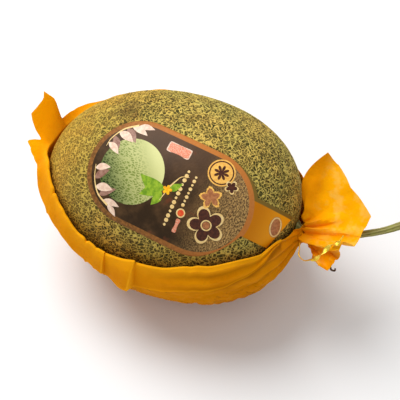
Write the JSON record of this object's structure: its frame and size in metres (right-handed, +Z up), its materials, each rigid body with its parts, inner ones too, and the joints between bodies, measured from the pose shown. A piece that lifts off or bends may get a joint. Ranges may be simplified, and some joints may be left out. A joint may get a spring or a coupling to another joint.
{
  "type": "netted cantaloupe melon in a gift wrap",
  "caption": "Whole oval netted melon lying in a tied sheet wrap with a turned-out hem and flared end, its cut stem, a twist tie and an oval sticker.",
  "frame": {"origin": "middle of the small flat spot under the wrap that the melon rests on", "axes": "+X along the melon towards its stem and the tied end, -Y the side that the sticker leans to, +Z up"},
  "size_m": [0.3068, 0.171, 0.1567],
  "materials": {
    "rind": "satin",
    "wrap": "matte",
    "green_stem": "matte",
    "dry_tendril": "matte",
    "gold_foil": "gloss",
    "label": "gloss"
  },
  "bodies": {
    "root": {"melon_fruit": "rind", "wrapper_sheet": "wrap", "stem": "green_stem", "dried_tendril": "dry_tendril", "twist_tie": "gold_foil", "label_sticker": "label"}
  },
  "joints": []
}
